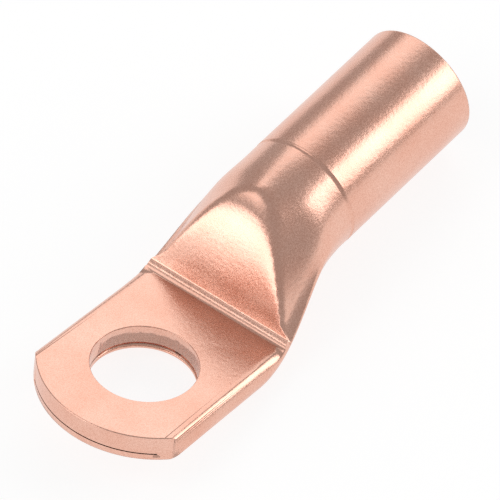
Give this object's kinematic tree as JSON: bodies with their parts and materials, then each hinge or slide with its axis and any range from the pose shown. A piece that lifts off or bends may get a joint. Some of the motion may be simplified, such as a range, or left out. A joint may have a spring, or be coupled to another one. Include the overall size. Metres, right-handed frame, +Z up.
{
  "type": "copper cable lug",
  "caption": "Tubular copper cable lug: a round barrel for a bared cable, pressed flat at one end into a round-nosed palm with a stud hole.",
  "frame": {"origin": "centre of the stud hole on the underside of the palm", "axes": "+X from the stud hole towards the barrel's mouth, level, as the lug lies on a table; +Z up; +Y across the palm"},
  "size_m": [0.0657, 0.0226, 0.0167],
  "materials": {
    "cable_lug": "annealed and pickled bare copper, satin"
  },
  "bodies": {
    "root": {"cable_lug": "cable_lug"}
  },
  "joints": []
}
